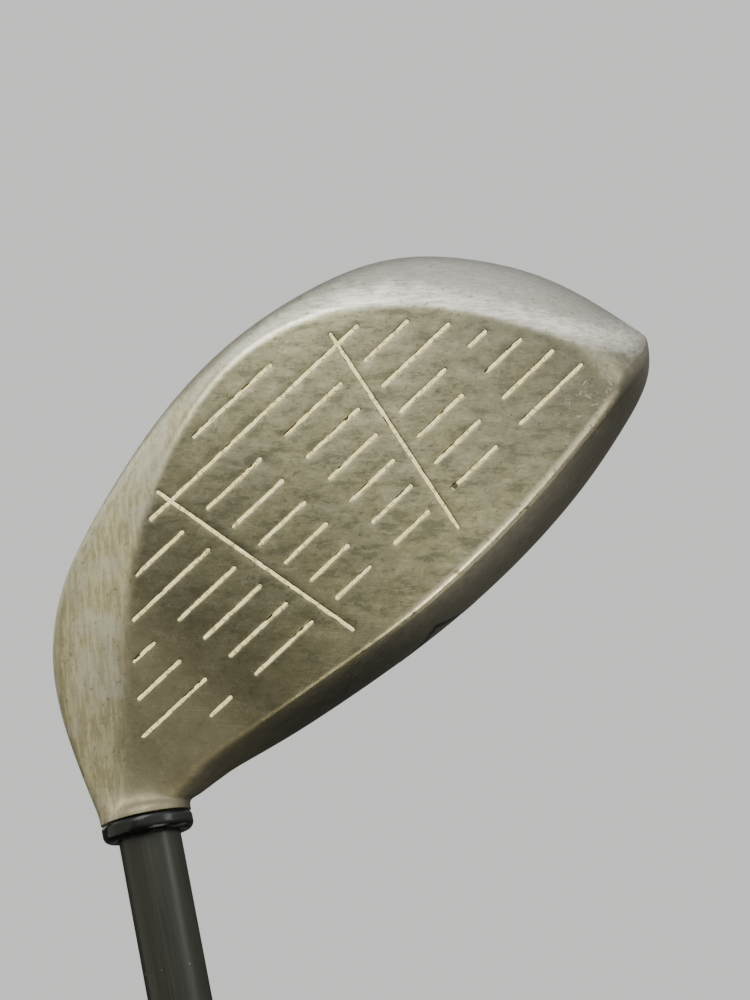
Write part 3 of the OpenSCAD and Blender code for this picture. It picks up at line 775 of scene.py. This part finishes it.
# ---- materials ----
class Graph:
    """Builds a node material from short calls. A value may be a number, a tuple or a socket."""

    def __init__(self, name, **fixed):
        self.mat = bpy.data.materials.new(name)
        self.mat.use_nodes = True
        self.tree = self.mat.node_tree
        self.shader = self.tree.nodes["Principled BSDF"]
        for key, value in fixed.items():
            self.feed(self.shader.inputs[key.replace("_", " ")], value)
        self.mm = self.vec("SCALE", self.add("ShaderNodeTexCoord").outputs["Object"], 1 / MM)

    def add(self, kind, **settings):
        node = self.tree.nodes.new(kind)
        for key, value in settings.items():
            setattr(node, key, value)
        return node

    def feed(self, socket, value):
        if isinstance(value, bpy.types.NodeSocket):
            self.tree.links.new(value, socket)
        elif isinstance(value, (tuple, list)):
            socket.default_value = (tuple(value) + (1,))[:len(socket.default_value)]
        else:
            socket.default_value = value

    def fed(self, node, *values):
        """The output of a node, its first inputs fed in order."""
        for socket, value in zip(node.inputs, values):
            self.feed(socket, value)
        return node.outputs[0]

    def math(self, op, a, b=0.0, c=0.0):
        return self.fed(self.add("ShaderNodeMath", operation=op), a, b, c)

    def vec(self, op, a, b):
        node = self.add("ShaderNodeVectorMath", operation=op)
        self.feed(node.inputs[0], a)
        self.feed(node.inputs["Scale"] if op == "SCALE" else node.inputs[1], b)
        return node.outputs["Value" if op == "DOT_PRODUCT" else "Vector"]

    def join(self, x, y, z):
        return self.fed(self.add("ShaderNodeCombineXYZ"), x, y, z)

    def noise(self, place, scale, detail=2.0, rough=0.5, warp=0.0):
        node = self.add("ShaderNodeTexNoise")
        self.feed(node.inputs["Vector"], place)
        for key, value in (("Scale", scale), ("Detail", detail), ("Roughness", rough), ("Distortion", warp)):
            node.inputs[key].default_value = value
        return node.outputs[0]

    def cells(self, place, scale, feature="F1"):
        node = self.add("ShaderNodeTexVoronoi", feature=feature)
        self.feed(node.inputs["Vector"], place)
        node.inputs["Scale"].default_value = scale
        return node.outputs["Distance"]

    def span(self, x, lo, hi, out_lo=0.0, out_hi=1.0):
        node = self.add("ShaderNodeMapRange", interpolation_type="SMOOTHSTEP")
        return self.fed(node, x, lo, hi, out_lo, out_hi)

    def fade(self, x, lo, hi):
        """1 up to lo, 0 from hi on."""
        return self.span(x, lo, hi, 1.0, 0.0)

    def less(self, x):
        return self.math("SUBTRACT", 1.0, x)

    def times(self, *values):
        out = values[0]
        for value in values[1:]:
            out = self.math("MULTIPLY", out, value)
        return out

    def plus(self, a, b, share):
        """a, and a share of b, which may be negative."""
        return self.math("ADD", a, self.times(b, share))

    def blend(self, share, a, b):
        node = self.add("ShaderNodeMix", data_type="RGBA")
        for socket, value in zip((node.inputs[0], node.inputs[6], node.inputs[7]), (share, a, b)):
            self.feed(socket, value)
        return node.outputs[2]

    def layers(self, colour, *coats):
        """Coats of a colour laid over one another, each given as (how strong, how much of it, colour)."""
        for strength, share, coat in coats:
            colour = self.blend(self.times(share, strength), colour, coat)
        return colour

    def bump(self, height, strength, distance):
        node = self.add("ShaderNodeBump")
        node.inputs["Strength"].default_value, node.inputs["Distance"].default_value = strength, distance * MM
        self.feed(node.inputs["Height"], height)
        return node.outputs[0]

    def attribute(self, name):
        return self.add("ShaderNodeAttribute", attribute_name=name).outputs["Fac"]

    def turned(self, x, y, z, angle, along, across):
        """Coordinates turned in the x-y plane and stretched along the turned x axis."""
        c, s = math.cos(math.radians(angle)), math.sin(math.radians(angle))
        u = self.plus(self.times(x, c * along), y, s * along)
        t = self.plus(self.times(x, -s * across), y, c * across)
        return self.join(u, t, self.times(z, across * 0.5))

    def near(self, place, centre, lo, hi):
        """1 inside a distance of a point, fading to 0."""
        off = self.vec("SUBTRACT", place, centre)
        return self.fade(self.math("SQRT", self.vec("DOT_PRODUCT", off, off)), lo, hi)

    def out(self, colour=None, roughness=None, normal=None):
        for key, value in (("Base Color", colour), ("Roughness", roughness), ("Normal", normal)):
            if value is not None:
                self.feed(self.shader.inputs[key], value)
        return self.mat


def face_axes(g):
    """The face axes of a material: along the face, up it and into it, in mm from the hosel."""
    local = g.vec("SUBTRACT", g.mm, (0, 0, HOSEL_Z))
    return [g.vec("DOT_PRODUCT", local, tuple(float(x) for x in row)) for row in TO_CLUB]


def chip_at(g, axes):
    """One dark chip at the end of a scoreline, in the steel and in the paint."""
    return g.near(g.join(*axes[:2], 0.0), (64.75, -4.85, 0.0), 0.34, 0.62)


def scratches(g, axes, place):
    """Three sets of fine scratches, each with its own direction and its own patches."""
    hairs = 0.0
    for angle, along, across, lo in ((47, 0.10, 3.4, 0.44), (-22, 0.16, 4.2, 0.52), (96, 0.13, 3.8, 0.40)):
        hair = g.noise(g.turned(*axes, angle, along, across), 1.0, 1)
        line = g.fade(g.math("ABSOLUTE", g.math("SUBTRACT", hair, 0.5)), 0.0, 0.022)
        hairs = g.math("MAXIMUM", hairs, g.times(line, g.span(g.noise(place, 0.37, 1), lo, lo + 0.10)))
    return hairs


def olive_face(g, a, waver, heel, mottle, broad, streak, fine):
    """The worn olive patina of the face, darker towards the heel and the toe, with painted shade where the
    face rounds away at the toe.
    """
    olive = g.blend(g.span(mottle, 0.32, 0.68), (0.30, 0.285, 0.165), (0.45, 0.43, 0.255))
    toe_side = g.span(g.plus(a, waver, 5.0), 60, 99)
    # painted shade where the face rounds away at the toe
    toe_round_shade = g.span(g.plus(a, waver, 7.0), 86, 97)
    return g.layers(
        olive, (0.40, g.span(broad, 0.42, 0.64), (0.33, 0.325, 0.225)),
        (0.62, g.fade(streak, 0.41, 0.49), (0.150, 0.155, 0.100)),
        (0.50, g.span(streak, 0.525, 0.62), (0.60, 0.56, 0.37)),
        (0.40, g.fade(fine, 0.34, 0.46), (0.17, 0.16, 0.10)),
        (0.30, g.span(fine, 0.56, 0.68), (0.66, 0.62, 0.44)),
        (0.93, heel, (0.105, 0.097, 0.056)),
        (0.78, toe_side, (0.15, 0.14, 0.10)),
        (0.65, toe_round_shade, (0.080, 0.074, 0.055)),
        (0.50, g.fade(a, 14, 24), (0.26, 0.235, 0.15)))


def silver_band(g, axes, face, waver, broad, scuffed, streak, fine):
    """The band outside the face's lower crease: bare and bright at the toe, aged and streaked at the heel, and
    darkened by painted shade away from the crease.
    """
    bright = g.blend(g.span(scuffed, 0.32, 0.68), (0.40, 0.387, 0.325), (0.66, 0.645, 0.56))
    # painted shade: the band darkens away from the crease, towards its outer edge
    away = g.span(g.plus(face, waver, 6.0), -8.0, -2.0, 0.75, 0.0)
    bright = g.layers(
        bright, (1.0, away, (0.215, 0.208, 0.18)),
        (0.25, g.fade(streak, 0.36, 0.50), (0.24, 0.235, 0.20)),
        (0.35, g.fade(fine, 0.34, 0.44), (0.22, 0.215, 0.18)))
    long_streak = g.noise(g.turned(*axes, -52, 0.22, 1.5), 1.0, 4, 0.62)
    short_streak = g.noise(g.turned(*axes, -48, 0.5, 2.6), 1.0, 5, 0.7)
    aged = g.blend(g.span(long_streak, 0.40, 0.60), (0.29, 0.27, 0.155), (0.42, 0.395, 0.25))
    aged = g.layers(
        aged, (0.4, g.fade(short_streak, 0.36, 0.46), (0.20, 0.18, 0.11)),
        (0.5, g.span(broad, 0.45, 0.62), (0.42, 0.415, 0.36)))
    return g.blend(g.fade(axes[0], 34, 78), bright, aged)


def worn_steel():
    g = Graph("worn_steel", Metallic=1.0)
    axes = face_axes(g)
    a = axes[0]
    place = g.join(*axes)
    top, face, side = g.attribute("edge_top"), g.attribute("edge_face"), g.attribute("edge_side")

    # where the face, the band outside its crease, and the crown begin
    waver = g.math("SUBTRACT", g.noise(place, 0.45, 3), 0.5)
    heel, toe_end = g.fade(a, 12, 66), g.span(a, 82, 97)
    soft = g.plus(g.math("MULTIPLY_ADD", toe_end, 2.6, 0.9), heel, 0.7)
    crown = g.span(g.plus(side, waver, 3.0), -1.5, 1.5)
    edge = g.math("ADD", g.plus(face, waver, 1.6), g.math("MULTIPLY_ADD", crown, 1.1, soft))
    inside = g.span(g.math("DIVIDE", edge, g.times(soft, 2.0)), 0.0, 1.0)
    outside = g.less(inside)
    behind = g.times(crown, outside)

    # streaks, scratches and specks
    scuffed = g.noise(g.turned(*axes, 40, 0.35, 2.6), 1.0, 3, 0.6)
    streak = g.noise(g.turned(*axes, 43, 0.24, 0.62), 1.0, 8, 0.74)
    fine = g.noise(g.turned(*axes, 43, 1.1, 3.0), 1.0, 4, 0.7)
    patch = g.noise(place, 0.16, 2)
    hairs = scratches(g, axes, place)
    web = g.times(g.fade(g.cells(place, 0.62, "DISTANCE_TO_EDGE"), 0.0, 0.045),
                  g.span(g.noise(place, 0.5, 2, 0.6), 0.54, 0.66))
    mottle = g.noise(place, 0.75, 6, 0.66, 0.3)
    broad = g.noise(place, 0.13, 3, 0.55)
    patina = g.span(g.noise(g.vec("MULTIPLY", place, (1.0, 1.35, 1.0)), 1.15, 4, 0.62), 0.575, 0.70)
    scuffs = g.times(g.span(g.noise(place, 0.95, 4, 0.7, 0.8), 0.57, 0.68),
                     g.near(place, (87.0, 0.6, -5.0), 2.0, 9.0))
    pits = g.times(g.fade(g.cells(place, 0.55), 0.05, 0.10), g.span(g.noise(place, 0.28, 1), 0.60, 0.64))
    grain = g.noise(place, 3.6, 3, 0.6)
    # painted highlight and wear: a cream band along the topline, lighter and smoother where the rounded edge
    # is worn and where light catches it
    worn_top_and_highlight = g.times(g.fade(top, 0.35, 1.35), g.span(g.noise(place, 0.8, 3), 0.28, 0.46),
                       g.span(a, 40, 56), g.fade(a, 88, 93))

    # colours: an olive face, a silver band outside its crease, grey-brown behind the topline
    olive = olive_face(g, a, waver, heel, mottle, broad, streak, fine)
    silver = silver_band(g, axes, face, waver, broad, scuffed, streak, fine)
    taupe = g.blend(g.span(mottle, 0.3, 0.7), (0.29, 0.265, 0.20), (0.43, 0.40, 0.31))
    # painted shade: the crown's colour darkens towards the heel
    taupe = g.blend(g.times(g.fade(a, 34, 60), 0.85), taupe, (0.10, 0.092, 0.06))
    colour = g.layers(
        g.blend(inside, g.blend(crown, silver, taupe), olive),
        (0.55, g.times(patina, g.less(g.times(behind, 0.6))), (0.115, 0.095, 0.055)),
        (0.50, scuffs, (0.74, 0.70, 0.56)),
        # painted highlight and wear along the topline
        (0.85, worn_top_and_highlight, (0.95, 0.86, 0.60)),
        (0.12, hairs, (0.66, 0.63, 0.48)),
        (0.10, web, (0.62, 0.59, 0.44)),
        (0.85, g.times(pits, g.span(a, 20, 60, 0.4, 1.0)), (0.05, 0.042, 0.03)),
        (0.95, g.times(chip_at(g, axes), inside), (0.02, 0.018, 0.012)),
        # painted shade and dirt in the scorelines' grooves
        (0.75, g.attribute("groove_dirt_and_shade"), (0.07, 0.062, 0.035)))

    rough = g.span(mottle, 0.25, 0.75, 0.46, 0.34)
    for part, share in ((outside, -0.05), (g.math("SUBTRACT", grain, 0.5), 0.16),
                        (worn_top_and_highlight, -0.06), (g.fade(a, 16, 26), 0.16)):
        rough = g.plus(rough, part, share)

    height = g.math("MULTIPLY_ADD", mottle, 0.5, g.times(grain, 0.22))
    for mark, depth in ((hairs, 0.12), (web, 0.16), (pits, 0.9)):
        height = g.plus(height, mark, -depth)
    height = g.math("MULTIPLY_ADD", g.times(patch, scuffed), 0.3, height)
    height = g.math("ADD", height, g.times(outside, g.math("MULTIPLY_ADD", streak, 0.9, g.times(fine, 0.5))))
    return g.out(colour, rough, g.bump(height, 0.5, 0.05))


def line_paint():
    g = Graph("line_paint", Specular_IOR_Level=0.35)
    speck = g.span(g.noise(g.mm, 1.7, 5, 0.75), 0.51, 0.60)
    tone = g.noise(g.mm, 0.5, 3)
    colour = g.layers(
        g.blend(g.span(tone, 0.35, 0.65), (0.93, 0.81, 0.36), (1.0, 0.93, 0.50)),
        (0.72, speck, (0.20, 0.17, 0.09)), (0.95, chip_at(g, face_axes(g)), (0.02, 0.018, 0.012)))
    return g.out(colour, g.span(tone, 0.3, 0.7, 0.5, 0.7), g.bump(g.noise(g.mm, 3.0, 3), 0.5, 0.05))


def black_gloss(name, base, haze):
    g = Graph(name, Coat_Weight=0.08, Coat_Roughness=0.2, Specular_IOR_Level=0.22)
    dust = g.span(g.noise(g.mm, 2.6, 4, 0.7), 0.60, 0.74)
    rub = g.noise(g.vec("MULTIPLY", g.mm, (1.0, 1.0, 4.0)), 1.2, 3)
    colour = g.blend(g.times(dust, 0.5), base, haze)
    return g.out(colour, g.span(rub, 0.35, 0.7, 0.14, 0.30), g.bump(rub, 0.25, 0.03))


def graphite_lacquer():
    g = Graph("graphite_lacquer", Coat_Weight=0.10, Coat_Roughness=0.22, Specular_IOR_Level=0.22)
    fibre = g.noise(g.vec("MULTIPLY", g.mm, (3.0, 3.0, 0.12)), 1.0, 3)
    cloud = g.noise(g.vec("MULTIPLY", g.mm, (0.5, 0.5, 0.08)), 1.0, 2)
    chips = g.times(g.span(g.cells(g.vec("MULTIPLY", g.mm, (1.0, 1.0, 0.7)), 0.9), 0.07, 0.15, 1.0, 0.0),
                    g.span(g.noise(g.mm, 0.12, 3), 0.60, 0.70))
    colour = g.layers(
        g.blend(g.span(fibre, 0.3, 0.7), (0.008, 0.0085, 0.005), (0.013, 0.013, 0.008)),
        (0.35, g.span(cloud, 0.4, 0.7), (0.020, 0.020, 0.013)), (0.6, chips, (0.14, 0.135, 0.115)))
    rough = g.plus(g.span(fibre, 0.3, 0.7, 0.30, 0.40), chips, 0.25)
    height = g.plus(g.times(fibre, 0.25), chips, -0.8)
    return g.out(colour, rough, g.bump(height, 0.4, 0.04))


def moulded_rubber(name, dark, light):
    g = Graph(name, Specular_IOR_Level=0.35)
    wear = g.noise(g.mm, 0.09, 4, 0.6)
    grain = g.noise(g.mm, 3.2, 3, 0.6)
    dust = g.span(g.noise(g.mm, 1.6, 4, 0.7), 0.58, 0.72)
    colour = g.blend(g.span(wear, 0.35, 0.68), dark, light)
    colour = g.blend(g.times(dust, 0.25), colour, (0.16, 0.155, 0.14))
    return g.out(colour, g.span(wear, 0.35, 0.7, 0.82, 0.58), g.bump(grain, 0.5, 0.06))


def plain_stock(name, dark, light, scale, rough, stretch=(1, 1, 1), height=0.05, metallic=0.0):
    """A simple stock material: two tones of one noise, with its roughness and bump."""
    g = Graph(name, Metallic=metallic)
    n = g.noise(g.vec("MULTIPLY", g.mm, stretch), scale, 4, 0.6)
    return g.out(g.blend(g.span(n, 0.3, 0.7), dark, light), g.span(n, 0.3, 0.7, rough + 0.06, rough - 0.06),
                 g.bump(n, 0.5, height))


STEEL = worn_steel()
BLACK = black_gloss("ferrule_black", (0.003, 0.004, 0.003), (0.022, 0.024, 0.018))
MARK = black_gloss("mark_black", (0.003, 0.003, 0.003), (0.02, 0.02, 0.018))
GRIP = moulded_rubber("grip_black", (0.014, 0.014, 0.013), (0.034, 0.033, 0.031))
CAP = moulded_rubber("cap_black", (0.020, 0.020, 0.019), (0.045, 0.044, 0.041))
for piece, slot, material, nodes in (
        (body, "cast_steel", STEEL, ["body_shell"]), (face, "face_steel", STEEL, ["face_plate"]),
        (sole, "sole_steel", STEEL, ["sole_plate"]), (paint, "line_paint", line_paint(), ["scoreline_paint"]),
        (chevron, "ferrule_plastic", MARK, []), (ferrule, "ferrule_plastic", BLACK, ["ferrule"]),
        (shaft, "graphite", graphite_lacquer(), ["shaft_tube"]), (grip, "grip_rubber", GRIP, ["grip_sleeve"]),
        (cap, "cap_rubber", CAP, ["grip_cap"])):
    piece.data.materials.append(material)
    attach(piece, "root")
    if nodes:
        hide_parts(*nodes)

# the parts inside, carried over from the CAD: colours, scale of the pattern, roughness, stretch, bump, metal
INNER_STOCK = {
    "hosel_tube": ("tube_steel", (0.42, 0.41, 0.39), (0.60, 0.59, 0.57), 1.0, 0.35, (2, 2, 0.1), 0.03, 1.0),
    "foam_core": ("core_foam", (0.62, 0.56, 0.36), (0.80, 0.75, 0.55), 1.8, 0.85, (1, 1, 1), 0.3),
    "face_weld": ("weld_bead", (0.34, 0.31, 0.27), (0.58, 0.55, 0.50), 1.4, 0.45, (1, 1, 1), 0.1, 1.0),
    "shaft_epoxy": ("epoxy_amber", (0.30, 0.20, 0.07), (0.46, 0.33, 0.13), 0.6, 0.25),
    "tip_weight": ("brass_turned", (0.62, 0.46, 0.20), (0.80, 0.62, 0.31), 1.0, 0.3, (0.3, 0.3, 4), 0.03, 1.0),
    "grip_tape": ("tape_paper", (0.60, 0.57, 0.49), (0.75, 0.72, 0.64), 2.2, 0.8),
}
stock = {node: plain_stock(*settings) for node, settings in INNER_STOCK.items()}
stock["sole_weld"] = stock["face_weld"]
for node, material in stock.items():
    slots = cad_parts[node].data.materials
    slots.clear()
    slots.append(material)

# ---- camera: nearly along the face's normal, the shaft running down to the left ----
AIM = np.array([55.0, -11.25, -8.0])
FAR, TILT_A, TILT_V, ROLL = 328.0, math.radians(3.7), math.radians(4.1), math.radians(43.2)
look = unit([math.sin(TILT_A), math.sin(TILT_V), math.cos(TILT_A) * math.cos(TILT_V)])
PHOTO_UP = np.array([math.sin(ROLL), -math.cos(ROLL), 0])
PHOTO_UP = unit(PHOTO_UP - look * (PHOTO_UP @ look))
PHOTO_RIGHT = np.cross(look, PHOTO_UP)


def aimed(obj, eye, at, up):
    """Puts a camera or a light at eye, looking at a point; both in face axes."""
    eye, at = Vector(to_club(eye)), Vector(to_club(at))
    z = (eye - at).normalized()
    x = Vector(rotate_dirs(up)).cross(z).normalized()
    obj.matrix_world = Matrix.Translation(eye) @ Matrix((x, z.cross(x), z)).transposed().to_4x4()
    bpy.context.scene.collection.objects.link(obj)


cam_data = bpy.data.cameras.new("camera")
cam_data.sensor_fit, cam_data.sensor_width, cam_data.lens = "HORIZONTAL", 36, 110.9
cam_data.clip_start, cam_data.clip_end = 0.01, 100
camera = bpy.data.objects.new("camera", cam_data)
aimed(camera, AIM - look * FAR, AIM, PHOTO_UP)
bpy.context.scene.camera = camera


# ---- floor and light ----
def softbox(name, toward, size, power, tint=(1, 1, 1)):
    """A rectangular lamp, seen from the face in a direction given as (right, up, back) of the view."""
    way = unit(PHOTO_RIGHT * toward[0] + PHOTO_UP * toward[1] + look * toward[2])
    data = bpy.data.lights.new(name, "AREA")
    data.shape, data.size, data.size_y, data.energy, data.color = "RECTANGLE", size[0], size[1], power, tint
    lamp = bpy.data.objects.new(name, data)
    lamp.visible_camera = False
    aimed(lamp, AIM + way * LAMP_AWAY, AIM, PHOTO_UP)


LAMP_AWAY = 900
softbox("key_above", (-0.30, 0.72, -0.62), (0.45, 0.80), 7.6)
softbox("left_wall", (-0.93, -0.08, -0.25), (1.40, 1.40), 6.0, (1.0, 0.96, 0.84))
softbox("upper_left", (-0.66, 0.62, 0.35), (0.70, 0.70), 2.2, (1.0, 0.98, 0.88))
softbox("rim_left", (-0.62, 0.12, 0.78), (0.20, 0.50), 0.7, (1.0, 1.0, 0.95))
softbox("edge_light", (0.52, -0.56, -0.64), (0.42, 0.34), 3.0, (1.0, 0.95, 0.80))
softbox("crown_fill", (0.635, -0.676, 0.375), (0.30, 0.50), 0.36, (1.0, 0.98, 0.9))
softbox("toe_light", (0.80, 0.45, -0.40), (0.30, 0.30), 1.3)

floor = make_object("floor", [(-6, -6, 0), (6, -6, 0), (6, 6, 0), (-6, 6, 0)], [[0, 1, 2, 3]], smooth=False)
floor.location.z = -0.0005
floor.data.materials.append(plain_stock("floor_pale", (0.74, 0.74, 0.73), (0.77, 0.77, 0.76), 0.02, 0.8))
floor.visible_glossy = floor.visible_diffuse = False

world = bpy.data.worlds.new("studio")
bpy.context.scene.world = world
world.use_nodes = True
wn, wl = world.node_tree.nodes, world.node_tree.links
wn.clear()
world_out, shown, light, pick, path, coord, dot, half, ramp = (
    wn.new("ShaderNode" + kind) for kind in (
        "OutputWorld", "Background", "Background", "MixShader", "LightPath", "TexCoord",
        "VectorMath", "Math", "ValToRGB"))
shown.inputs[0].default_value = (0.80, 0.80, 0.785, 1)
light.inputs[1].default_value = 2.2
bright_way = rotate_dirs(PHOTO_UP * 0.92 + PHOTO_RIGHT * 0.28 - look * 0.25)
dot.operation, half.operation = "DOT_PRODUCT", "MULTIPLY_ADD"
dot.inputs[1].default_value = tuple(unit(bright_way))
half.inputs[1].default_value = half.inputs[2].default_value = 0.5
stops = ramp.color_ramp.elements
stops[0].position, stops[0].color = 0.0, (0.022, 0.023, 0.021, 1)
stops[1].position, stops[1].color = 1.0, (1.0, 1.0, 1.0, 1)
for pos, val in ((0.40, 0.035), (0.50, 0.09), (0.62, 0.20), (0.74, 0.42), (0.86, 0.78)):
    stops.new(pos).color = (val, val, val * 0.97, 1)
for source, target in ((coord.outputs["Generated"], dot.inputs[0]), (dot.outputs["Value"], half.inputs[0]),
                       (half.outputs[0], ramp.inputs[0]), (ramp.outputs[0], light.inputs[0]),
                       (path.outputs["Is Camera Ray"], pick.inputs[0]), (light.outputs[0], pick.inputs[1]),
                       (shown.outputs[0], pick.inputs[2]), (pick.outputs[0], world_out.inputs[0])):
    wl.new(source, target)

bpy.context.view_layer.update()
